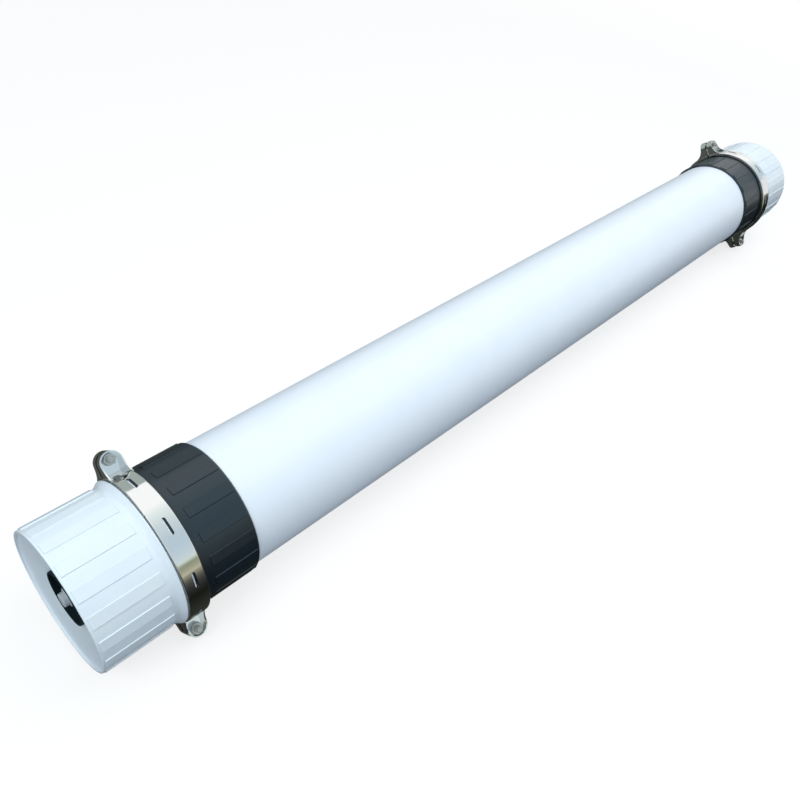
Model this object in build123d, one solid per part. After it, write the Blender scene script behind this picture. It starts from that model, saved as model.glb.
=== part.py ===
from build123d import *
import math
import os

os.makedirs("parts", exist_ok=True)

# Hollow-fibre ultrafiltration module, lying on its two clamps. Millimetres.
# +X runs along the tube, +Z is up, and the origin is on the floor under the middle.
# Places along the tube are measured from the open mouth of an end cap.

# Housing tube: 225 mm pressure pipe
overall_length = 2224.0
pipe_radius = 112.5
pipe_wall = 6.6
pipe_end_setback = 1.0
glue_line = 0.2

# Collar: black moulded ring bonded on the pipe, with a flange that meets the end cap
collar_wall = 4.3
collar_length = 116.3
collar_end_chamfer = 2.6
collar_root_round = 1.5
flange_rise = 7.0

# End cap: thick moulded cup, closed by a dished end with a central port
cap_length = 150.2
cap_step = 0.6
cap_wall = 8.5
rim_thickness = 4.0
rim_round = 1.5
rim_inner_round = 0.7
rim_drop = 3.5
rim_taper = 1.0
dish_depth = 13.5
end_wall = 8.0
port_radius = 45.2
port_lip = 3.0
port_sleeve_length = 48.0
port_sleeve_wall = 4.5
shoulder_depth = 9.0
shoulder_rise = 0.2
shoulder_blend = 7.0
shoulder_land = 1.0
cap_inner_blend = 6.0

# Raised flat grip pads round cap and collar
pad_count = 18
pad_height = 1.3
pad_root = 2.0
pad_bevel = 0.6
cap_pad_width = 19.6
cap_pad_start = 4.0
cap_pad_end = 111.8
cap_pad_clock = 17.15
collar_pad_width = 17.2
collar_pad_start = 184.0
collar_pad_end = 262.0
near_collar_pad_clock = 26.7
far_collar_pad_clock = 31.9

# Flange seal: rubber ring squeezed flat in a groove of the cap flange
seal_inset = 5.7
seal_width = 4.6
seal_thickness = 3.3
seal_side_room = 0.3
seal_bevel = 0.8

# Port bush: rubber lining, wider behind the port lip, whose neck stands out of the port
bush_room = 0.2
bush_proud = 4.5
bush_neck_wall = 3.5
bush_neck_round = 1.0
bush_step = 3.7
bush_length = 44.0
bush_bead_height = 0.8
bush_bead_half_width = 1.6
bush_bead_start = 8.4
bush_bead_pitch = 14.0
bush_bead_count = 3

# Collector tube and its nozzles: the near one closed, the far one open as the way out
collector_radius = 16.0
collector_bore = 13.0
collector_hole_radius = 3.0
collector_hole_pitch = 170.0
nozzle_radius = 11.0
nozzle_reach = 9.0
nozzle_tip = 5.5
nozzle_bore = 8.0
nozzle_face_wall = 3.0
nozzle_shank_length = 36.0
nozzle_round = 1.2
nozzle_flange_radius = 14.5
nozzle_flange_thickness = 1.0

# Potted fibre bundle
potting_setback = 3.0
potting_depth = 60.0
bundle_margin = 8.9
net_wall = 1.2
bundle_room = 0.3

# Clamp: two polished half bands with turned-in edges
band_width = 36.0
band_thickness = 2.2
band_edge_round = 3.0
band_room = 0.3
key_depth = 5.1
key_room = 0.6
key_side_room = 2.0
half_gap = 5.0
slot_length = 28.0
slot_width = 6.0
slot_step = 41.0
slots_per_half = 4

# Clamp lugs: pressed hoods at the ends of each half band
bolt_standoff = 25.0
lug_plate = 3.0
lug_wall = 2.2
lug_crown = 12.5
lug_top_radius = 17.5
lug_foot_half_width = 18.0
lug_rim = 11.0
lug_blend_rise = 28.0
lug_foot_reach = 34.0

# M10 fasteners
bolt_radius = 5.0
bolt_length = 30.0
bolt_chamfer = 1.0
bolt_hole_radius = 5.5
hexagon_width = 17.0
hexagon_bevel = 0.95
head_height = 6.4
nut_height = 8.0
thread_room = 0.05
washer_radius = 10.0
washer_thickness = 2.0
washer_hole_radius = 5.3

# How far a cutting shape runs past what it cuts
overcut = 1.0

# Radii that follow from the pipe, outwards and inwards
collar_bore = pipe_radius + glue_line
collar_radius = collar_bore + collar_wall
cap_radius = collar_radius + cap_step
cap_bore = cap_radius - cap_wall
flange_radius = collar_radius + flange_rise
shoulder_radius = flange_radius + shoulder_rise
seal_radius = flange_radius - seal_inset
band_inner_radius = flange_radius + band_room
band_radius = band_inner_radius + band_thickness
key_radius = band_inner_radius - key_depth
bolt_circle = flange_radius + bolt_standoff
lug_top = bolt_circle + lug_crown
lug_blend_start = flange_radius + lug_blend_rise
pipe_bore = pipe_radius - pipe_wall
bundle_radius = pipe_bore - bundle_margin
bush_radius = port_radius + bush_step
sleeve_bore = bush_radius + bush_room

# Places along the tube, and off the clamp's split
mouth_x = -overall_length / 2
joint_x = mouth_x + cap_length
flange_depth = band_width / 2 - band_thickness
key_x = joint_x - band_width / 2
lug_face = half_gap / 2 + lug_plate
head_seat = lug_face + washer_thickness
head_top = head_seat + head_height


def turned(outline, rounds=()):
    """Solid of revolution about the tube axis from (x, radius) corners, some of them rounded."""
    section = make_face(Polyline(*outline, close=True))
    for corner, radius in rounds:
        nearest = section.vertices().sort_by_distance((corner[0], corner[1], 0))[0]
        section = fillet(nearest, radius)
    return revolve(section, Axis.X, 360)


def drill(radius, depth):
    """Cutting cylinder about Z that runs out past this depth both ways."""
    return Cylinder(radius, 2 * (depth + overcut))


def grip_pads(start, end, width, radius, clock):
    """Flat raised pads round a moulded ring, rooted in its wall."""
    length = end - start
    block = Box(length, pad_root + pad_height, width)
    block = chamfer(block.edges().group_by(Axis.Y)[0], pad_bevel)
    middle = Pos(mouth_x + start + length / 2, (pad_root - pad_height) / 2 - radius, 0)
    pads = Part()
    for number in range(pad_count):
        pads += Rot(-clock - number * 360 / pad_count, 0, 0) * middle * block
    return pads


def make_end_cap():
    """Moulded cap: rim, dish, port lip, port sleeve, shoulder, clamp groove and flange."""
    rim_inner = cap_radius - rim_thickness
    dish_outer = rim_inner - rim_taper
    dish_rim = (mouth_x + rim_drop, dish_outer)
    lip_front = mouth_x + dish_depth
    lip_back = lip_front + port_lip
    sleeve_end = lip_back + port_sleeve_length
    sleeve_outer = sleeve_bore + port_sleeve_wall
    plate_inner_rim = mouth_x + rim_drop + end_wall
    plate_inner_port = lip_front + end_wall
    crest = key_x - key_side_room
    shoulder_top = crest - shoulder_land
    groove_floor = key_radius - key_room
    key_face = key_x + band_thickness
    groove_outer = seal_radius + seal_width / 2 + seal_side_room
    groove_inner = seal_radius - seal_width / 2 - seal_side_room
    groove_back = joint_x - seal_thickness
    shoulder_foot = (shoulder_top - shoulder_depth, cap_radius)
    outline = [
        (mouth_x, rim_inner),
        (mouth_x, cap_radius),
        shoulder_foot,
        (shoulder_top, shoulder_radius),
        (crest, shoulder_radius),
        (crest, groove_floor),
        (key_face, groove_floor),
        (key_face, flange_radius),
        (joint_x, flange_radius),
        (joint_x, groove_outer),
        (groove_back, groove_outer),
        (groove_back, groove_inner),
        (joint_x, groove_inner),
        (joint_x, cap_bore),
        (plate_inner_rim, cap_bore),
        (plate_inner_port, sleeve_outer),
        (sleeve_end, sleeve_outer),
        (sleeve_end, sleeve_bore),
        (lip_back, sleeve_bore),
        (lip_back, port_radius),
        (lip_front, port_radius),
        dish_rim,
    ]
    rounds = [
        ((mouth_x, rim_inner), rim_inner_round),
        ((mouth_x, cap_radius), rim_round),
        (shoulder_foot, shoulder_blend),
        ((shoulder_top, shoulder_radius), rim_round),
        ((plate_inner_rim, cap_bore), cap_inner_blend),
        ((plate_inner_port, sleeve_outer), cap_inner_blend),
        (dish_rim, rim_round * 2),
    ]
    cup = turned(outline, rounds)
    pads = grip_pads(cap_pad_start, cap_pad_end, cap_pad_width, cap_radius, cap_pad_clock)
    return cup + pads


def make_collar(clock):
    """Moulded collar: flange face, flange, plain ring, grip pads and bevelled end."""
    flange_back = joint_x + flange_depth
    collar_end = joint_x + collar_length
    root = (flange_back, collar_radius)
    outline = [
        (joint_x, collar_bore),
        (joint_x, flange_radius),
        (flange_back, flange_radius),
        root,
        (collar_end - collar_end_chamfer, collar_radius),
        (collar_end, collar_radius - collar_end_chamfer),
        (collar_end, collar_bore),
    ]
    ring = turned(outline, [(root, collar_root_round)])
    pads = grip_pads(collar_pad_start, collar_pad_end, collar_pad_width, collar_radius, clock)
    return ring + pads


def make_flange_seal():
    """Rubber ring, squeezed to the depth of its groove, with bevelled edges."""
    inner = seal_radius - seal_width / 2
    outer = seal_radius + seal_width / 2
    back = joint_x - seal_thickness
    return turned([
        (back, inner + seal_bevel),
        (back, outer - seal_bevel),
        (back + seal_bevel, outer),
        (joint_x - seal_bevel, outer),
        (joint_x, outer - seal_bevel),
        (joint_x, inner + seal_bevel),
        (joint_x - seal_bevel, inner),
        (back + seal_bevel, inner),
    ])


def make_port_bush():
    """Rubber lining held behind the port lip, with a neck and sealing beads round its bore."""
    dish = mouth_x + dish_depth
    front = dish - bush_proud
    seat = dish + port_lip
    back = seat + bush_length
    neck = port_radius - bush_room
    bore = neck - bush_neck_wall
    outline = [
        (front, bore),
        (front, neck),
        (seat, neck),
        (seat, bush_radius),
        (back, bush_radius),
        (back, bore),
    ]
    rounds = [
        ((front, bore), bush_neck_round),
        ((front, neck), bush_neck_round),
    ]
    bush = turned(outline, rounds)
    for number in range(bush_bead_count):
        crest = seat + bush_bead_start + number * bush_bead_pitch
        bush += turned([
            (crest - bush_bead_half_width, bore + bush_bead_height),
            (crest - bush_bead_half_width, bore),
            (crest, bore - bush_bead_height),
            (crest + bush_bead_half_width, bore),
            (crest + bush_bead_half_width, bore + bush_bead_height),
        ])
    return bush


def ring_between(start, end, inner, outer):
    """Plain ring about the tube axis."""
    return turned([(start, inner), (start, outer), (end, outer), (end, inner)])


def make_housing_tube():
    start = joint_x + pipe_end_setback
    return ring_between(start, -start, pipe_bore, pipe_radius)


def make_potting_block():
    start = joint_x + potting_setback
    end = start + potting_depth
    return ring_between(start, end, collector_radius + glue_line, pipe_bore - glue_line)


def make_fibre_bundle():
    start = joint_x + potting_setback + potting_depth
    return ring_between(start, -start, collector_radius + bundle_room, bundle_radius)


def make_bundle_net():
    start = joint_x + potting_setback + potting_depth
    inner = bundle_radius + bundle_room
    return ring_between(start, -start, inner, inner + net_wall)


def make_collector_tube():
    """Tube through the whole bundle, cross-drilled between the two potting blocks."""
    start = mouth_x + nozzle_tip + nozzle_reach
    tube = ring_between(start, -start, collector_bore, collector_radius)
    free_length = -2 * (joint_x + potting_setback + potting_depth)
    stations = int(free_length / collector_hole_pitch)
    for number in range(stations):
        x = (number - (stations - 1) / 2) * collector_hole_pitch
        turn = 90 * (number % 2)
        tube -= Pos(x, 0, 0) * Rot(turn, 0, 0) * drill(collector_hole_radius, collector_radius)
    return tube


def make_collector_nozzle(closed):
    """Boss that stands in the port on a shank in the collector tube, its face closed or open."""
    tip = mouth_x + nozzle_tip
    seat = tip + nozzle_reach
    shank_end = seat + nozzle_shank_length
    shank_radius = collector_bore - glue_line
    flange_front = seat - nozzle_flange_thickness
    boss = turned([
        (tip, 0),
        (tip, nozzle_radius),
        (flange_front, nozzle_radius),
        (flange_front, nozzle_flange_radius),
        (seat, nozzle_flange_radius),
        (seat, shank_radius),
        (shank_end, shank_radius),
        (shank_end, 0),
    ], [((tip, nozzle_radius), nozzle_round)])
    if closed:
        bore_start = tip + nozzle_face_wall
    else:
        bore_start = tip - overcut
    bore_end = shank_end + overcut
    return boss - turned([
        (bore_start, 0),
        (bore_start, nozzle_bore),
        (bore_end, nozzle_bore),
        (bore_end, 0),
    ])


def lug_outline(inset):
    """Rounded plate outline of a lug, seen square on, shrunk by a wall thickness."""
    top = lug_top_radius - inset
    foot = lug_foot_half_width - inset
    middle = lug_top - lug_top_radius
    corners = [(-foot, key_radius), (foot, key_radius), (top, middle), (-top, middle)]
    sides = make_face(Polyline(*corners, close=True))
    return Plane.XZ * (sides + Pos(0, middle) * Circle(top))


def make_half_band():
    """Front half of a clamp, its split facing up and down, centred on the flange joint."""
    edge = band_width / 2
    web = band_radius
    channel = [
        (-edge, key_radius),
        (-edge, web),
        (edge, web),
        (edge, key_radius),
        (edge - band_thickness, key_radius),
        (edge - band_thickness, band_inner_radius),
        (band_thickness - edge, band_inner_radius),
        (band_thickness - edge, key_radius),
    ]
    rounds = [
        ((-edge, web), band_edge_round),
        ((edge, web), band_edge_round),
    ]
    ring = turned(channel, rounds)
    reach = 2 * lug_top
    front = Pos(0, -half_gap / 2 - reach / 2, 0) * Box(reach, reach, reach)
    half = ring & front

    face = -lug_face - lug_rim
    foot_height = math.sqrt(band_radius ** 2 - lug_foot_reach ** 2)
    profile = make_face([
        Polyline(
            (face, lug_blend_start),
            (face, lug_top + overcut),
            (-half_gap / 2, lug_top + overcut),
            (-half_gap / 2, key_radius),
            (-lug_foot_reach, key_radius),
            (-lug_foot_reach, foot_height),
        ),
        TangentArc((face, lug_blend_start), (-lug_foot_reach, foot_height), tangent=(0, -1)),
    ])
    hood = extrude(Plane.YZ * profile, lug_foot_half_width + overcut, both=True)
    hood &= extrude(lug_outline(0), lug_foot_reach + overcut)
    pocket = Pos(0, -lug_face, 0) * extrude(lug_outline(lug_wall), lug_foot_reach)
    drum = Rot(0, 90, 0) * Cylinder(band_radius, 2 * band_width)
    core = Rot(0, 90, 0) * Cylinder(band_radius - band_thickness / 2, 2 * band_width)
    lug = hood - (pocket - drum) - core
    lug -= Pos(0, 0, bolt_circle) * Rot(90, 0, 0) * drill(bolt_hole_radius, lug_foot_reach)
    half += lug
    half += mirror(lug, about=Plane.XY)

    slot_shape = Plane.XZ * Rot(0, 0, 90) * SlotOverall(slot_length, slot_width)
    slot = extrude(slot_shape, band_radius + overcut)
    for number in range(slots_per_half):
        half -= Rot((number - (slots_per_half - 1) / 2) * slot_step, 0, 0) * slot
    return half


def hexagon(height):
    """Hexagon prism with its outer corners turned off on one face, flats facing along the tube."""
    corner = hexagon_width / 2 / math.cos(math.radians(30))
    prism = extrude(RegularPolygon(corner, 6, rotation=0), height)
    cutter = Cylinder(corner, height, align=(Align.CENTER, Align.CENTER, Align.MIN))
    cutter = chamfer(cutter.edges().group_by(Axis.Z)[-1], hexagon_bevel)
    return prism & cutter


def make_bolt():
    """Hexagon-head bolt along +Z, its head's seat at zero."""
    shank = Cylinder(bolt_radius, bolt_length, align=(Align.CENTER, Align.CENTER, Align.MIN))
    shank = chamfer(shank.edges().group_by(Axis.Z)[-1], bolt_chamfer)
    return shank + Rot(180, 0, 0) * hexagon(head_height)


def make_nut():
    return hexagon(nut_height) - drill(bolt_radius + thread_room, nut_height)


def make_washer():
    disc = Cylinder(washer_radius, washer_thickness, align=(Align.CENTER, Align.CENTER, Align.MIN))
    return disc - drill(washer_hole_radius, washer_thickness)


def lean_of(offset, reach):
    """Angle from straight down to a lug whose point at (offset, reach) just meets the floor."""
    distance = math.hypot(offset, reach)
    return math.degrees(math.acos(band_radius / distance) + math.atan2(offset, reach))


# The module lies on both bands and on the lower bolt heads or lug tips
lean = max(lean_of(head_top, bolt_circle + hexagon_width / 2), lean_of(lug_face + lug_rim, lug_top))
floor_up = Pos(0, 0, band_radius)
clamp_place = Pos(joint_x, 0, 0) * Rot(-lean, 0, 0)

near_end = {
    "near_end_cap": make_end_cap(),
    "near_collar": make_collar(near_collar_pad_clock),
    "near_flange_seal": make_flange_seal(),
    "near_port_bush": make_port_bush(),
    "near_collector_nozzle": make_collector_nozzle(closed=True),
    "near_potting_block": make_potting_block(),
}

half_band = make_half_band()
near_end["near_clamp_front_half"] = clamp_place * half_band
near_end["near_clamp_rear_half"] = clamp_place * mirror(half_band, about=Plane.XZ)

# Every bolt goes in from the rear and takes its nut on the front lug
to_front = Rot(90, 0, 0)
to_rear = Rot(-90, 0, 0)
for level, height in (("upper", bolt_circle), ("lower", -bolt_circle)):
    lug_axis = clamp_place * Pos(0, 0, height)
    near_end[f"near_{level}_bolt"] = lug_axis * Pos(0, head_seat, 0) * to_front * make_bolt()
    near_end[f"near_{level}_nut"] = lug_axis * Pos(0, -head_seat, 0) * to_front * make_nut()
    near_end[f"near_{level}_nut_washer"] = lug_axis * Pos(0, -lug_face, 0) * to_front * make_washer()
    near_end[f"near_{level}_head_washer"] = lug_axis * Pos(0, lug_face, 0) * to_rear * make_washer()

far_end = {}
for name, shape in near_end.items():
    far_end[name.replace("near", "far")] = mirror(shape, about=Plane.YZ)
far_end["far_collar"] = mirror(make_collar(far_collar_pad_clock), about=Plane.YZ)
far_end["far_collector_nozzle"] = mirror(make_collector_nozzle(closed=False), about=Plane.YZ)

middle = {
    "housing_tube": make_housing_tube(),
    "collector_tube": make_collector_tube(),
    "fibre_bundle": make_fibre_bundle(),
    "bundle_net": make_bundle_net(),
}

for name, shape in {**near_end, **far_end, **middle}.items():
    export_step(floor_up * shape, f"parts/{name}.step")
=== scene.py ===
import math

import bmesh
import bpy
from mathutils import Matrix, Vector


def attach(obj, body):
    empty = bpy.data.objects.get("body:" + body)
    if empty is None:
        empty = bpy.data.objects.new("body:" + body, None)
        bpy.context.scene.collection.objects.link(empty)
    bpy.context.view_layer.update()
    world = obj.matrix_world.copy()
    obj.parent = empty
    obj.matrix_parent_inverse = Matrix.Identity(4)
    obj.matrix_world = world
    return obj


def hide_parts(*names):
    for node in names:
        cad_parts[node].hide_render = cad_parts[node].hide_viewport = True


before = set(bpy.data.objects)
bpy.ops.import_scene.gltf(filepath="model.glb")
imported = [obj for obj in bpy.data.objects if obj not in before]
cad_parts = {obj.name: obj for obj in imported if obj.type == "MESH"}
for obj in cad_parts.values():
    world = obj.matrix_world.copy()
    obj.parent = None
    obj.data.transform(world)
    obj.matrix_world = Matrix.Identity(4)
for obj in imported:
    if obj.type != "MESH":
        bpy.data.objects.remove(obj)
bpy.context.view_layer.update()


# Housing tube. Pressure pipe of bluish-white PVC-U, extruded in one length and cut square.
# Its skin is satin, with faint lengthwise streaks from the die and soft handling marks.
mm = 0.001
half_length = 1112 * mm
axis_height = 126.5 * mm
pipe_radius = 112.5 * mm
pipe_bore = 105.9 * mm
pipe_start = 151.2 * mm
weld_distance = 0.001 * mm
crease_angle = math.radians(32)


def linear(hex_code):
    """Linear colour of an sRGB hex value."""
    parts = [int(hex_code[place:place + 2], 16) / 255 for place in (1, 3, 5)]
    return [part / 12.92 if part <= 0.04045 else ((part + 0.055) / 1.055) ** 2.4 for part in parts] + [1]


def add(tree, kind, inputs=None, **settings):
    """Adds a node with its settings, and links or sets its inputs."""
    node = tree.nodes.new(kind)
    for name, value in settings.items():
        setattr(node, name, value)
    for socket, value in (inputs or {}).items():
        if isinstance(value, bpy.types.NodeSocket):
            tree.links.new(value, node.inputs[socket])
        else:
            node.inputs[socket].default_value = value
    return node


def start_material(name):
    """Empty material and its node tree."""
    material = bpy.data.materials.new(name)
    material.use_nodes = True
    material.node_tree.nodes.clear()
    return material, material.node_tree


def pattern(tree, scale, stretch=(1, 1, 1), detail=3.0):
    """Noise on the piece's own coordinates, with scale grains to the metre."""
    place = add(tree, "ShaderNodeTexCoord")
    turn = add(tree, "ShaderNodeMapping", {"Vector": place.outputs["Object"], "Scale": stretch})
    return add(tree, "ShaderNodeTexNoise", {"Vector": turn.outputs[0], "Scale": scale, "Detail": detail})


def spread(tree, value, low, high):
    """Stretches the middle of a noise to the range low to high, with soft ends."""
    reach = add(tree, "ShaderNodeMapRange", {
        "Value": value, "From Min": 0.2, "From Max": 0.8, "To Min": low, "To Max": high,
    }, interpolation_type="SMOOTHSTEP")
    return reach.outputs["Result"]


def lathe(outline, side=-1, turns=240):
    """Closed ring about the tube axis from (distance from the mouth, radius) points."""
    shape = bmesh.new()
    rings = []
    for turn in range(turns):
        angle = 2 * math.pi * turn / turns
        rings.append([
            shape.verts.new((side * (half_length - along), -radius * math.cos(angle),
                             axis_height + radius * math.sin(angle)))
            for along, radius in outline
        ])
    for ring, other in zip(rings, rings[1:] + rings[:1]):
        for place in range(len(outline)):
            after = (place + 1) % len(outline)
            if outline[place][1] > 0 or outline[after][1] > 0:
                shape.faces.new((ring[place], ring[after], other[after], other[place]))
    bmesh.ops.remove_doubles(shape, verts=shape.verts, dist=weld_distance)
    bmesh.ops.recalc_face_normals(shape, faces=shape.faces)
    mesh = bpy.data.meshes.new("turned")
    shape.to_mesh(mesh)
    shape.free()
    return mesh


def plain(piece):
    """Turns a piece's modifiers into plain mesh."""
    scene_state = bpy.context.evaluated_depsgraph_get()
    mesh = bpy.data.meshes.new_from_object(piece.evaluated_get(scene_state))
    piece.modifiers.clear()
    piece.data = mesh


def dress(name, mesh, material, slot, *nodes):
    """Piece with crisp shading that stands for CAD nodes."""
    piece = bpy.data.objects.new(name, mesh)
    bpy.context.collection.objects.link(piece)
    mesh.materials.clear()
    mesh.materials.append(material)
    mesh.shade_smooth()
    mesh.set_sharp_from_angle(angle=crease_angle)
    weigh = piece.modifiers.new("weigh normals", "WEIGHTED_NORMAL")
    weigh.keep_sharp = True
    plain(piece)
    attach(piece, "root")
    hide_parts(*nodes)
    return piece


# Extruded PVC-U: satin, so it shows a broad soft sheen along its crown. Die streaks lie 11 mm
# apart and handling marks are 70 mm across. A mix of colours takes them at its inputs 6 and 7.
pipe_plastic, tree = start_material("extruded PVC-U pipe")
streaks = pattern(tree, 90, (0.02, 1, 1))
marks = pattern(tree, 14)
tone = add(tree, "ShaderNodeMix", {
    "Factor": spread(tree, marks.outputs[0], 0, 1), 6: linear("#E6EDF4"), 7: linear("#E2EAF2"),
}, data_type="RGBA")
relief = add(tree, "ShaderNodeBump", {"Height": streaks.outputs[0], "Strength": 0.12, "Distance": 0.2 * mm})
shader = add(tree, "ShaderNodeBsdfPrincipled", {
    "Base Color": tone.outputs[2], "Roughness": spread(tree, marks.outputs[0], 0.3, 0.38),
    "IOR": 1.53, "Normal": relief.outputs[0],
})
add(tree, "ShaderNodeOutputMaterial", {"Surface": shader.outputs[0]})

pipe_end = 2 * half_length - pipe_start
pipe_outline = [(pipe_start, pipe_bore), (pipe_start, pipe_radius), (pipe_end, pipe_radius), (pipe_end, pipe_bore)]
dress("housing_tube_skin", lathe(pipe_outline), pipe_plastic, "white_pipe", "housing_tube")


# Collector tube and nozzles. A dark extruded tube runs through the whole bundle.
# A turned light grey nozzle is bonded into each end: the near one has a closed plain face,
# the far one is open, as the way out.
collector_start = 14.5 * mm
collector_radius = 16 * mm
collector_bore = 13 * mm
nozzle_tip = 5.5 * mm
nozzle_seat = 14.5 * mm
nozzle_end = 50.5 * mm
nozzle_radius = 11 * mm
nozzle_bore = 8 * mm
nozzle_shank = 12.8 * mm
nozzle_flange = 14.5 * mm
nozzle_flange_thickness = 1 * mm
nozzle_face_back = 8.5 * mm


def soften(corners, steps=6):
    """Outline whose corners with a third value, their radius, are rounded."""
    points = []
    for before, here, after in zip(corners[-1:] + corners[:-1], corners, corners[1:] + corners[:1]):
        corner = Vector(here[:2])
        if len(here) == 2:
            points.append(corner)
            continue
        back = (Vector(before[:2]) - corner).normalized()
        ahead = (Vector(after[:2]) - corner).normalized()
        half = back.angle(ahead) / 2
        centre = corner + (back + ahead).normalized() * here[2] / math.sin(half)
        first = (corner + back * here[2] / math.tan(half) - centre).normalized()
        last = (corner + ahead * here[2] / math.tan(half) - centre).normalized()
        points += [centre + here[2] * first.slerp(last, step / steps) for step in range(steps + 1)]
    return points


def plain_plastic(name, code, roughness, grain, ior=1.5, tint=(1, 1, 1, 1)):
    """Moulded or turned plastic with one colour and a fine uneven skin.

    The real skin is finer than 0.2 mm. Its grains, counted to the metre, are drawn 1 to 6 mm
    across, so that they show.
    """
    material, tree = start_material(name)
    skin = pattern(tree, grain)
    relief = add(tree, "ShaderNodeBump", {"Height": skin.outputs[0], "Strength": 0.15, "Distance": 0.1 * mm})
    shader = add(tree, "ShaderNodeBsdfPrincipled", {
        "Base Color": linear(code), "IOR": ior, "Specular Tint": tint, "Normal": relief.outputs[0],
        "Roughness": spread(tree, skin.outputs[0], roughness - 0.04, roughness + 0.04),
    })
    add(tree, "ShaderNodeOutputMaterial", {"Surface": shader.outputs[0]})
    return material


# Turned and extruded PVC: dull and even, so the stub reads as a plain grey face
grey_plastic = plain_plastic("turned grey PVC", "#B9C1C6", 0.38, 900)
dark_plastic = plain_plastic("extruded dark grey PVC", "#1E2428", 0.45, 600)
collector_end = 2 * half_length - collector_start
collector_outline = [
    (collector_start, collector_bore),
    (collector_start, collector_radius, 0.4 * mm),
    (collector_end, collector_radius, 0.4 * mm),
    (collector_end, collector_bore),
]
dress("collector_tube_skin", lathe(soften(collector_outline), turns=64), dark_plastic, "grey_tube", "collector_tube")

nozzle_body = [
    (nozzle_tip, nozzle_radius, 1.2 * mm),
    (nozzle_seat - nozzle_flange_thickness, nozzle_radius),
    (nozzle_seat - nozzle_flange_thickness, nozzle_flange, 0.3 * mm),
    (nozzle_seat, nozzle_flange),
    (nozzle_seat, nozzle_shank),
    (nozzle_end, nozzle_shank),
    (nozzle_end, nozzle_bore),
]
closed_face = [(nozzle_face_back, nozzle_bore), (nozzle_face_back, 0), (nozzle_tip, 0)]
open_face = [(nozzle_tip, nozzle_bore, 0.6 * mm)]
for end, side, face in (("near", -1, closed_face), ("far", 1, open_face)):
    nozzle = lathe(soften(nozzle_body + face), side, turns=96)
    dress(f"{end}_nozzle_turned", nozzle, grey_plastic, "grey_nozzle", f"{end}_collector_nozzle")


# Potted fibre bundle. Thousands of white hollow fibres, held in a netting sleeve,
# are cast in resin at both ends and cut across, so their open ends show in the face.
potting_start = 153.2 * mm
potting_end = 213.2 * mm
potting_radius = 105.7 * mm
potting_bore = 16.2 * mm
fibre_spacing = 1.7 * mm
both_ends = (("near", -1), ("far", 1))

# Cast resin: amber and glossy, dotted with the cut ends of the white fibres; the shade in their open bores is painted
# dark
cast_resin, tree = start_material("cast resin with fibre ends")
place = add(tree, "ShaderNodeTexCoord")
flat = add(tree, "ShaderNodeMapping", {"Vector": place.outputs["Object"], "Scale": (0, 1, 1)})
cells = add(tree, "ShaderNodeTexVoronoi", {
    "Vector": flat.outputs[0], "Scale": 1 / fibre_spacing, "Randomness": 0.55,
})
wall = add(tree, "ShaderNodeValToRGB", {"Fac": cells.outputs["Distance"]})
wall.color_ramp.interpolation = "CONSTANT"
# The first, dark stop is painted shade inside each fibre's open bore, then the white fibre wall, then amber resin
for place, code in ((0.0, "#5B5647"), (0.2, "#E6E6DE"), (0.4, "#B59A62")):
    stop = wall.color_ramp.elements.new(place) if place else wall.color_ramp.elements[0]
    stop.color = linear(code)
wall.color_ramp.elements.remove(wall.color_ramp.elements[-1])
shader = add(tree, "ShaderNodeBsdfPrincipled", {
    "Base Color": wall.outputs[0], "Roughness": 0.35, "IOR": 1.52,
})
add(tree, "ShaderNodeOutputMaterial", {"Surface": shader.outputs[0]})

potting_outline = [
    (potting_start, potting_bore), (potting_start, potting_radius),
    (potting_end, potting_radius), (potting_end, potting_bore),
]
for end, side in both_ends:
    block = lathe(potting_outline, side, turns=96)
    dress(f"{end}_potting_cast", block, cast_resin, "cast_resin", f"{end}_potting_block")

# Membrane fibres: matt white strands that run along the module, drawn twice as thick as they are
fibre_skin, tree = start_material("polymer membrane fibres")
strands = pattern(tree, 1 / (2 * fibre_spacing), (0.01, 1, 1))
relief = add(tree, "ShaderNodeBump", {"Height": strands.outputs[0], "Strength": 0.6, "Distance": 1 * mm})
shader = add(tree, "ShaderNodeBsdfPrincipled", {
    "Base Color": linear("#EDEDE6"), "Roughness": 0.6, "Normal": relief.outputs[0],
})
add(tree, "ShaderNodeOutputMaterial", {"Surface": shader.outputs[0]})
# Polyethylene netting: smooth and a shade greyer than the fibres in it
net_plastic = plain_plastic("extruded polyethylene netting", "#D5DADD", 0.45, 300)
for node, material in (("fibre_bundle", fibre_skin), ("bundle_net", net_plastic)):
    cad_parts[node].data.materials.clear()
    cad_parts[node].data.materials.append(material)


# Port bushes. A sleeve of black rubber lines each port behind the lip, its neck stands out
# of the dish, and three low sealing beads are moulded round its bore.
port_radius = 45.2 * mm
bush_front = 9 * mm
bush_seat = 16.5 * mm
bush_end = 60.5 * mm
bush_bore = 41.5 * mm
bush_neck = 45 * mm
bush_outer = 48.9 * mm
bead_places = [24.9 * mm, 38.9 * mm, 52.9 * mm]
bead_crest = 40.7 * mm
bead_half_width = 1.6 * mm

# Moulded EPDM: matt and nearly black; the faint sheen in the port carries a painted cold blue tint
black_rubber = plain_plastic("moulded black EPDM", "#060A0D", 0.8, 400, ior=1.52, tint=linear("#AAEDFF"))
bush_outline = [(bush_front, bush_bore, 1 * mm)]
for place in bead_places:
    bush_outline.append((place - bead_half_width, bush_bore))
    bush_outline.append((place, bead_crest, 0.6 * mm))
    bush_outline.append((place + bead_half_width, bush_bore))
bush_outline += [
    (bush_end, bush_bore),
    (bush_end, bush_outer),
    (bush_seat, bush_outer),
    (bush_seat, bush_neck),
    (bush_front, bush_neck, 1 * mm),
]
for end, side in both_ends:
    bush = lathe(soften(bush_outline, steps=4), side)
    dress(f"{end}_port_bush_moulded", bush, black_rubber, "bush_rubber", f"{end}_port_bush")


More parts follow.
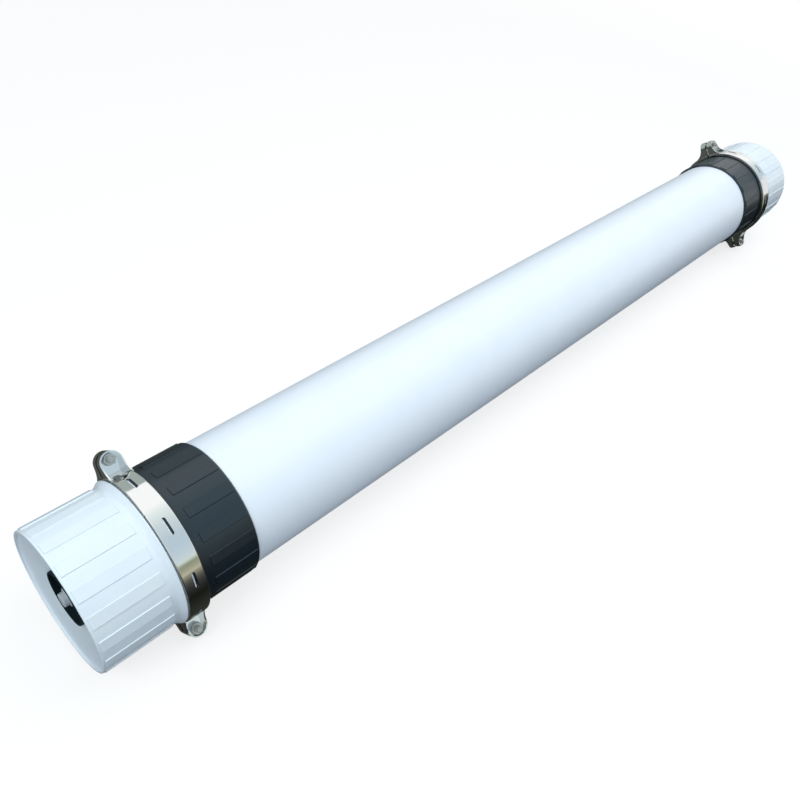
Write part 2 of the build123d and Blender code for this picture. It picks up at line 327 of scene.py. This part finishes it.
# Collars. Black ABS rings, injection moulded and bonded on the pipe, with a flange for the clamp.
# Eighteen raised flat pads give a grip; the skin is semi-gloss and a little uneven.
joint = 150.2 * mm
collar_bore = 112.7 * mm
collar_radius = 117 * mm
collar_end = 266.5 * mm
flange_radius = 124 * mm
flange_back = 166 * mm
collar_chamfer = 2.6 * mm
collar_pad_start = 184 * mm
collar_pad_end = 262 * mm
collar_pad_width = 17.2 * mm
pad_height = 1.3 * mm
pad_corner = 1 * mm
corner_steps = 4
pad_count = 18


def pad_mesh(start, end, pad_width, radius, side):
    """Flat pad on the ring at the -Y side, flowing into it with a small fillet at its foot.

    The profile gives its side from foot to crown, as millimetres outwards and share of its height.
    """
    profile = [(0.5, -1.0), (0.5, 0.0), (0.25, 0.05), (0.08, 0.18), (0.0, 0.4),
               (0.0, 0.62), (-0.1, 0.84), (-0.3, 0.96), (-0.6, 1.0)]
    shape = bmesh.new()
    rings = []
    for offset, rise in profile:
        reach = (end - start) / 2 + offset * mm
        width = pad_width / 2 + offset * mm
        corner = pad_corner + offset * mm
        ring = []
        for quarter in range(4):
            for step in range(corner_steps + 1):
                angle = math.radians(90 * quarter + 90 / corner_steps * step)
                along = math.copysign(reach - corner, math.cos(math.radians(90 * quarter + 45)))
                across = math.copysign(width - corner, math.sin(math.radians(90 * quarter + 45)))
                along += corner * math.cos(angle)
                across += corner * math.sin(angle)
                foot = math.sqrt(radius ** 2 - across ** 2)
                height = foot + rise * (radius + pad_height - foot) if rise > 0 else foot + rise * mm
                x = side * (half_length - (start + end) / 2 - along)
                ring.append(shape.verts.new((x, -height, across)))
        rings.append(ring)
    for ring, other in zip(rings, rings[1:]):
        for place in range(len(ring)):
            after = (place + 1) % len(ring)
            shape.faces.new((ring[place], ring[after], other[after], other[place]))
    shape.faces.new(rings[0])
    shape.faces.new(rings[-1])
    bmesh.ops.recalc_face_normals(shape, faces=shape.faces)
    mesh = bpy.data.meshes.new("pad")
    shape.to_mesh(mesh)
    shape.free()
    return mesh


def pad_tree():
    """Node tree that sets a pad round the tube axis and joins it to its ring."""
    tree = bpy.data.node_groups.new("grip pads round a ring", "GeometryNodeTree")
    for name, kind in (("Ring", "Geometry"), ("Pad", "Object"), ("Count", "Int"), ("Clock", "Float"),
                       ("Axis Height", "Float"), ("Material", "Material")):
        tree.interface.new_socket(name, in_out="INPUT", socket_type=f"NodeSocket{kind}")
    tree.interface.new_socket("Ring", in_out="OUTPUT", socket_type="NodeSocketGeometry")
    given = add(tree, "NodeGroupInput").outputs
    points = add(tree, "GeometryNodePoints", {"Count": given["Count"]})
    number = add(tree, "GeometryNodeInputIndex")
    step = add(tree, "ShaderNodeMath", {0: 2 * math.pi, 1: given["Count"]}, operation="DIVIDE")
    turn = add(tree, "ShaderNodeMath", {
        0: number.outputs[0], 1: step.outputs[0], 2: given["Clock"],
    }, operation="MULTIPLY_ADD")
    back = add(tree, "ShaderNodeMath", {0: turn.outputs[0], 1: -1.0}, operation="MULTIPLY")
    angles = add(tree, "ShaderNodeCombineXYZ", {"X": back.outputs[0]})
    pad = add(tree, "GeometryNodeObjectInfo", {"Object": given["Pad"], "As Instance": True})
    pads = add(tree, "GeometryNodeInstanceOnPoints", {
        "Points": points.outputs[0], "Instance": pad.outputs["Geometry"], "Rotation": angles.outputs[0],
    })
    lift = add(tree, "ShaderNodeCombineXYZ", {"Z": given["Axis Height"]})
    raised = add(tree, "GeometryNodeTransform", {"Geometry": pads.outputs[0], "Translation": lift.outputs[0]})
    joined = add(tree, "GeometryNodeJoinGeometry")
    tree.links.new(given["Ring"], joined.inputs[0])
    tree.links.new(raised.outputs[0], joined.inputs[0])
    real = add(tree, "GeometryNodeRealizeInstances", {0: joined.outputs[0]})
    coat = add(tree, "GeometryNodeSetMaterial", {"Geometry": real.outputs[0], "Material": given["Material"]})
    add(tree, "NodeGroupOutput", {0: coat.outputs[0]})
    return tree


def set_inputs(modifier, values):
    """Sets a geometry modifier's inputs by the identifiers of their sockets."""
    for item in modifier.node_group.interface.items_tree:
        if item.in_out == "INPUT" and item.name in values:
            modifier[item.identifier] = values[item.name]


def padded_ring(ring, start, end, pad_width, radius, side, clock, material):
    """Ring mesh with its grip pads, made by the node tree."""
    pad = bpy.data.objects.new("pad", pad_mesh(start, end, pad_width, radius, side))
    carrier = bpy.data.objects.new("ring", ring)
    bpy.context.collection.objects.link(pad)
    bpy.context.collection.objects.link(carrier)
    modifier = carrier.modifiers.new("pads", "NODES")
    modifier.node_group = ring_pads
    set_inputs(modifier, {
        "Pad": pad, "Count": pad_count, "Clock": math.radians(clock), "Axis Height": axis_height,
        "Material": material,
    })
    plain(carrier)
    mesh = carrier.data
    bpy.data.objects.remove(carrier)
    bpy.data.objects.remove(pad)
    return mesh


ring_pads = pad_tree()
# Moulded black ABS: semi-gloss, so its pads and flange take broad highlights, given a painted cool tint
collar_plastic = plain_plastic("injection moulded black ABS", "#15222B", 0.32, 160, ior=1.54, tint=linear("#F3FDFF"))
collar_outline = [
    (joint, collar_bore),
    (joint, flange_radius, 0.8 * mm),
    (flange_back, flange_radius, 0.8 * mm),
    (flange_back, collar_radius, 1.5 * mm),
    (collar_end - collar_chamfer, collar_radius, 0.6 * mm),
    (collar_end, collar_radius - collar_chamfer, 0.5 * mm),
    (collar_end, collar_bore),
]
for end, side, clock in (("near", -1, 26.7), ("far", 1, 31.9)):
    ring = lathe(soften(collar_outline), side)
    ring = padded_ring(ring, collar_pad_start, collar_pad_end, collar_pad_width, collar_radius, side, clock,
                       collar_plastic)
    dress(f"{end}_collar_moulded", ring, collar_plastic, "black_collar", f"{end}_collar")


# End caps. Thick cups of pale blue-white plastic, injection moulded, with a dished end,
# a lipped port, grip pads, and a shoulder that swells out to the clamp groove.
cap_radius = 117.6 * mm
cap_bore = 109.1 * mm
cap_pad_start = 4 * mm
cap_pad_end = 111.8 * mm
cap_pad_width = 19.6 * mm
cap_pad_clock = 17.15
rim_inner = 113.6 * mm
rim_drop = 3.5 * mm
dish_rim = 112.6 * mm
dish_depth = 13.5 * mm
end_wall = 8 * mm
port_lip = 3 * mm
shoulder_blend = 7 * mm
shoulder_land = 1 * mm
inner_blend = 6 * mm
shoulder_radius = 124.2 * mm
shoulder_foot = 120.2 * mm
crest = 130.2 * mm
groove_floor = 118.6 * mm
key_face = 134.4 * mm
seal_groove = (115.7 * mm, 120.9 * mm)
seal_depth = 3.3 * mm
sleeve_bore = 49.1 * mm
sleeve_outer = 53.6 * mm
sleeve_end = 64.5 * mm

# Moulded white ABS: semi-gloss, with fine highlights on its pad edges. The skin waves every
# 9 mm, and handling marks are 55 mm across.
cap_plastic, tree = start_material("injection moulded white ABS")
skin = pattern(tree, 110)
marks = pattern(tree, 18)
relief = add(tree, "ShaderNodeBump", {"Height": skin.outputs[0], "Strength": 0.12, "Distance": 0.15 * mm})
tone = add(tree, "ShaderNodeMix", {
    "Factor": spread(tree, marks.outputs[0], 0, 1), 6: linear("#DFE9EE"), 7: linear("#DBE5EB"),
}, data_type="RGBA")
shader = add(tree, "ShaderNodeBsdfPrincipled", {
    "Base Color": tone.outputs[2], "Roughness": spread(tree, marks.outputs[0], 0.28, 0.34),
    "IOR": 1.53, "Normal": relief.outputs[0],
})
add(tree, "ShaderNodeOutputMaterial", {"Surface": shader.outputs[0]})

cap_outline = [
    (0, rim_inner, 0.7 * mm),
    (0, cap_radius, 1.5 * mm),
    (shoulder_foot, cap_radius, shoulder_blend),
    (crest - shoulder_land, shoulder_radius, 0.9 * mm),
    (crest, shoulder_radius, 0.3 * mm),
    (crest, groove_floor, 0.5 * mm),
    (key_face, groove_floor, 0.5 * mm),
    (key_face, flange_radius, 0.6 * mm),
    (joint, flange_radius, 0.6 * mm),
    (joint, seal_groove[1]),
    (joint - seal_depth, seal_groove[1]),
    (joint - seal_depth, seal_groove[0]),
    (joint, seal_groove[0]),
    (joint, cap_bore),
    (rim_drop + end_wall, cap_bore, inner_blend),
    (dish_depth + end_wall, sleeve_outer, inner_blend),
    (sleeve_end, sleeve_outer, 0.8 * mm),
    (sleeve_end, sleeve_bore),
    (dish_depth + port_lip, sleeve_bore),
    (dish_depth + port_lip, port_radius, 0.8 * mm),
    (dish_depth, port_radius, 0.9 * mm),
    (rim_drop, dish_rim, 3 * mm),
]
for end, side in both_ends:
    ring = lathe(soften(cap_outline), side)
    ring = padded_ring(ring, cap_pad_start, cap_pad_end, cap_pad_width, cap_radius, side, cap_pad_clock,
                       cap_plastic)
    dress(f"{end}_end_cap_moulded", ring, cap_plastic, "white_cap", f"{end}_end_cap")


# Flange seals. Rings of black nitrile rubber, laid in the groove of the cap's flange
# and squeezed flat by the clamp; they are out of sight once the module is closed.

# Nitrile rubber: dull and plain black
seal_rubber = plain_plastic("black nitrile rubber", "#121415", 0.55, 400, ior=1.52)
for end in ("near", "far"):
    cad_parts[f"{end}_flange_seal"].data.materials.clear()
    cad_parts[f"{end}_flange_seal"].data.materials.append(seal_rubber)


# Clamp halves. Stainless strip, rolled to a channel, slotted, and drawn out into a hooded lug
# at each end; electropolished, so the web mirrors its surroundings with a slight waviness.
band_radius = 126.5 * mm
band_edge = 18 * mm
band_round = 3 * mm
loose_distance = 0.002 * mm
flat_angle = math.radians(0.5)
skin_tolerance = 0.1 * mm
facing_limit = 0.94


def merged_copy(node):
    """Copy of a CAD node's mesh with its loose triangles joined."""
    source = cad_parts[node].data
    shape = bmesh.new()
    shape.from_mesh(source)
    bmesh.ops.remove_doubles(shape, verts=shape.verts, dist=loose_distance)
    bmesh.ops.dissolve_limit(shape, angle_limit=flat_angle, verts=shape.verts, edges=shape.edges)
    copy = bpy.data.meshes.new("copy")
    copy.from_pydata([tuple(v.co) for v in shape.verts], [], [[v.index for v in f.verts] for f in shape.faces])
    shape.free()
    return copy


def band_normal(point, face_normal, joint_x):
    """True normal of the rolled band's outside at a point, or None off it."""
    along = point.x - joint_x
    outward = Vector((0, point.y, point.z - axis_height))
    radius = outward.length
    if not band_radius - band_round - skin_tolerance <= radius <= band_radius + skin_tolerance:
        return None
    over = abs(along) - (band_edge - band_round)
    normal = outward.normalized()
    if over > 0:
        rise = radius - (band_radius - band_round)
        normal = normal * rise + Vector((math.copysign(over, along), 0, 0))
        normal.normalize()
    return normal if normal.dot(face_normal) > facing_limit else None


# Electropolished stainless steel: a clear mirror that waves every 22 mm and is a little blurred.
# The rolling lines are really finer than 0.1 mm and are drawn 1 mm apart, so that they show.
polished_steel, tree = start_material("electropolished stainless steel")
waves = pattern(tree, 45, detail=1.0)
lines = pattern(tree, 900, (1, 0.03, 0.03), detail=2.0)
relief = add(tree, "ShaderNodeBump", {"Height": waves.outputs[0], "Strength": 0.1, "Distance": 0.3 * mm})
shader = add(tree, "ShaderNodeBsdfPrincipled", {
    "Base Color": linear("#DFE1E0"), "Metallic": 1.0,
    "Roughness": spread(tree, lines.outputs[0], 0.06, 0.13), "Normal": relief.outputs[0],
})
add(tree, "ShaderNodeOutputMaterial", {"Surface": shader.outputs[0]})

for end, side in both_ends:
    for half in ("front", "rear"):
        node = f"{end}_clamp_{half}_half"
        band = dress(f"{node}_pressed", merged_copy(node), polished_steel, "polished_band", node)
        mesh = band.data
        normals = [corner.vector.copy() for corner in mesh.corner_normals]
        for face in mesh.polygons:
            for loop in face.loop_indices:
                point = mesh.vertices[mesh.loops[loop].vertex_index].co
                exact = band_normal(point, face.normal, side * (half_length - joint))
                normals[loop] = exact or normals[loop]
        mesh.normals_split_custom_set(normals)


# Fasteners. M10 hexagon bolts, nuts and washers of plain stainless steel, cold forged and turned.
# Their skin is finely scuffed; the shanks carry a rolled thread of 1.5 mm pitch, shown as relief.
bolt_circle = 149 * mm
bolt_radius = 5 * mm
thread_pitch = 1.5 * mm
wave_length = 2 * math.pi / 20
shank_tolerance = 0.02 * mm
clamp_lean = math.radians(44.64)


def forged_steel(name, thread=False):
    """Plain stainless steel, finely scuffed or with thread ridges along the leaning bolts.

    A wave texture of scale 1 repeats after wave_length.
    """
    material, tree = start_material(name)
    scuffs = pattern(tree, 500)
    height, depth = scuffs.outputs[0], 0.02 * mm
    if thread:
        place = add(tree, "ShaderNodeTexCoord")
        turn = add(tree, "ShaderNodeMapping", {"Vector": place.outputs["Object"], "Rotation": (clamp_lean, 0, 0)})
        ridges = add(tree, "ShaderNodeTexWave", {
            "Vector": turn.outputs[0], "Scale": wave_length / thread_pitch,
        }, bands_direction="Y")
        height, depth = ridges.outputs[1], 0.9 * mm
    relief = add(tree, "ShaderNodeBump", {"Height": height, "Distance": depth})
    shader = add(tree, "ShaderNodeBsdfPrincipled", {
        "Base Color": linear("#B9B9B6"), "Metallic": 1.0,
        "Roughness": spread(tree, scuffs.outputs[0], 0.28, 0.36), "Normal": relief.outputs[0],
    })
    add(tree, "ShaderNodeOutputMaterial", {"Surface": shader.outputs[0]})
    return material


def thread_shank(bolt, height, side):
    """Gives the faces of a bolt's shank the threaded steel."""
    along = Vector((0, math.cos(clamp_lean), -math.sin(clamp_lean)))
    upward = Vector((0, math.sin(clamp_lean), math.cos(clamp_lean)))
    centre = Vector((side * (half_length - joint), 0, axis_height)) + height * upward
    bolt.data.materials.append(threaded_steel)
    for face in bolt.data.polygons:
        spots = [bolt.data.vertices[place].co - centre for place in face.vertices]
        if all((spot - spot.dot(along) * along).length < bolt_radius + shank_tolerance for spot in spots):
            face.material_index = 1


# Forged stainless steel: duller than the bands, so nuts and bolt ends stay grey in the bright lugs.
# Scuffs are drawn 2 mm long, coarser than real ones; the thread's ridges catch thin lines of light.
plain_steel = forged_steel("cold forged stainless steel")
threaded_steel = forged_steel("rolled thread in stainless steel", thread=True)
for end, side in both_ends:
    for level_name, height in (("upper", bolt_circle), ("lower", -bolt_circle)):
        for kind in ("nut", "nut_washer", "head_washer", "bolt"):
            node = f"{end}_{level_name}_{kind}"
            piece = dress(f"{node}_turned", merged_copy(node), plain_steel, "stainless_fastener", node)
            if kind == "bolt":
                thread_shank(piece, height, side)


# Studio. A pale floor that takes the object's shadow and turns plain white further off, a white
# surround, a wide soft lamp overhead and one high off the near mouth. Cards that only reflections
# see stand for a yard round it, pale sky, sandy green horizon and dark ground, in the polished steel.
floor_reach = 30.0
shadow_share = 0.24
fade_start = 1.4
fade_end = 3.2


def seen_by_eye(tree):
    """1 for camera, glossy and transmission rays, 0 for the others."""
    rays = add(tree, "ShaderNodeLightPath")
    first = add(tree, "ShaderNodeMath", {
        0: rays.outputs["Is Camera Ray"], 1: rays.outputs["Is Glossy Ray"],
    }, operation="MAXIMUM")
    return add(tree, "ShaderNodeMath", {
        0: first.outputs[0], 1: rays.outputs["Is Transmission Ray"],
    }, operation="MAXIMUM").outputs[0]


def level(left, right, front, back, height):
    """Corners of a level rectangle."""
    return [(left, front, height), (right, front, height), (right, back, height), (left, back, height)]


def upright(left, right, place, top):
    """Corners of a standing rectangle that faces along Y."""
    return [(left, place, 0), (right, place, 0), (right, place, top), (left, place, top)]


def flat_sheet(name, corners, material):
    """Rectangle that is no part of the object."""
    mesh = bpy.data.meshes.new(name)
    mesh.from_pydata(corners, [], [(0, 1, 2, 3)])
    mesh.materials.append(material)
    sheet = bpy.data.objects.new(name, mesh)
    bpy.context.collection.objects.link(sheet)
    return sheet


# Studio floor: matt where the object's shadow falls, and glowing plain white further off
floor_paint, tree = start_material("pale studio floor")
bounce = add(tree, "ShaderNodeBsdfDiffuse", {"Color": linear("#AAADB3")})
matt = add(tree, "ShaderNodeBsdfDiffuse", {"Color": linear("#FFFFFF")})
glow = add(tree, "ShaderNodeEmission", {"Color": linear("#FFFFFF"), "Strength": 1.0})
place = add(tree, "ShaderNodeTexCoord")
away = add(tree, "ShaderNodeVectorMath", {0: place.outputs["Object"]}, operation="LENGTH")
share = add(tree, "ShaderNodeMapRange", {
    "Value": away.outputs["Value"], "From Min": fade_start, "From Max": fade_end,
    "To Min": shadow_share, "To Max": 0.0,
}, interpolation_type="SMOOTHSTEP")
pale = add(tree, "ShaderNodeMixShader", {0: share.outputs["Result"], 1: glow.outputs[0], 2: matt.outputs[0]})
mixed = add(tree, "ShaderNodeMixShader", {0: seen_by_eye(tree), 1: bounce.outputs[0], 2: pale.outputs[0]})
add(tree, "ShaderNodeOutputMaterial", {"Surface": mixed.outputs[0]})
flat_sheet("floor", level(-floor_reach, floor_reach, -floor_reach, floor_reach, 0), floor_paint)


def reflector(name, corners, shades, strength=1.0, axis="Y"):
    """Card that only glossy rays see, for the polished steel to mirror, shaded along one axis."""
    paint, tree = start_material(name)
    place = add(tree, "ShaderNodeTexCoord")
    parts = add(tree, "ShaderNodeSeparateXYZ", {0: place.outputs["Object"]})
    low, high = min(shades)[0], max(shades)[0]
    along = add(tree, "ShaderNodeMapRange", {"Value": parts.outputs[axis], "From Min": low, "From Max": high})
    ramp = add(tree, "ShaderNodeValToRGB", {"Fac": along.outputs["Result"]})
    while len(ramp.color_ramp.elements) < len(shades):
        ramp.color_ramp.elements.new(0.5)
    for stop, (reach, code) in zip(ramp.color_ramp.elements, shades):
        stop.position = (reach - low) / (high - low)
        stop.color = linear(code)
    shine = add(tree, "ShaderNodeEmission", {"Color": ramp.outputs["Color"], "Strength": strength})
    add(tree, "ShaderNodeOutputMaterial", {"Surface": shine.outputs[0]})
    card = flat_sheet(name, corners, paint)
    card.visible_camera = False
    card.visible_diffuse = False
    card.visible_transmission = False
    card.visible_shadow = False


# Mirror cards: each glows in a few plain shades, which the polished steel shows as soft bands
card_reach = 10.0
wall_place = 4.6
roof_height = 3.4
ground_lift = 0.5 * mm
wall_grey = "#B2BDBA"
reflector("ground card", level(-card_reach, card_reach, -card_reach, wall_place, ground_lift),
          [(-2.5, "#9C9988"), (-1.0, "#5F5B56"), (-0.5, "#343534"), (-0.3, "#1B1D18"), (0.3, "#565A55")])
reflector("roof card", level(-card_reach, card_reach, -card_reach, wall_place, roof_height), [
    (-10, "#D3DDDB"), (-3.4, "#BACCDA"), (-2.0, "#BECED8"), (-0.8, "#CFDBDF"), (0.2, "#E7EFF0"), (0.9, "#FFFFFF"),
], strength=1.25)
reflector("green horizon card", upright(-card_reach, card_reach, -card_reach, roof_height),
          [(0, "#D2CEB5"), (1.4, "#B0B097"), (2.5, "#98A08A"), (roof_height, "#E2EADB")], axis="Z")
reflector("grey wall card", upright(-card_reach, card_reach, wall_place, roof_height),
          [(0, wall_grey), (roof_height, wall_grey)], axis="Z")

world = bpy.data.worlds.new("white surround")
world.use_nodes = True
tree = world.node_tree
tree.nodes.clear()
ambient = add(tree, "ShaderNodeBackground", {"Color": linear("#DCE8F0"), "Strength": 0.7})
white = add(tree, "ShaderNodeBackground", {"Color": linear("#FFFFFF"), "Strength": 1.0})
sky = add(tree, "ShaderNodeMixShader", {0: seen_by_eye(tree), 1: ambient.outputs[0], 2: white.outputs[0]})
add(tree, "ShaderNodeOutputWorld", {"Surface": sky.outputs[0]})
bpy.context.scene.world = world


def soft_lamp(name, place, target, width, length, power, code):
    """Rectangular soft lamp that shines at a point."""
    data = bpy.data.lights.new(name, "AREA")
    data.shape = "RECTANGLE"
    data.size = width
    data.size_y = length
    data.energy = power
    data.color = linear(code)[:3]
    lamp = bpy.data.objects.new(name, data)
    lamp.location = place
    lamp.rotation_euler = (Vector(target) - Vector(place)).to_track_quat("-Z", "Y").to_euler()
    lamp.visible_glossy = False
    bpy.context.collection.objects.link(lamp)


soft_lamp("overhead lamp", (0.8, -0.3, 2.5), (0.8, 0.0, 0.0), width=3.2, length=2.2, power=39, code="#FCFDFF")
soft_lamp("end lamp", (-2.9, -0.2, 2.7), (-1.1, 0, 0.1), width=1.4, length=1.4, power=46, code="#F2F8FF")

camera_data = bpy.data.cameras.new("camera")
camera_data.lens = 34.32
camera_data.sensor_width = 36
camera = bpy.data.objects.new("camera", camera_data)
camera_place = (-1.27057, -0.59883, 1.16881)
heading, down, roll = math.radians(55.103), math.radians(45.513), math.radians(13.79)
turn = Matrix.Rotation(-heading, 4, "Z") @ Matrix.Rotation(math.pi / 2 - down, 4, "X") @ Matrix.Rotation(roll, 4, "Z")
camera.matrix_world = Matrix.Translation(camera_place) @ turn
bpy.context.collection.objects.link(camera)
bpy.context.scene.camera = camera
bpy.context.scene.view_settings.view_transform = "Standard"
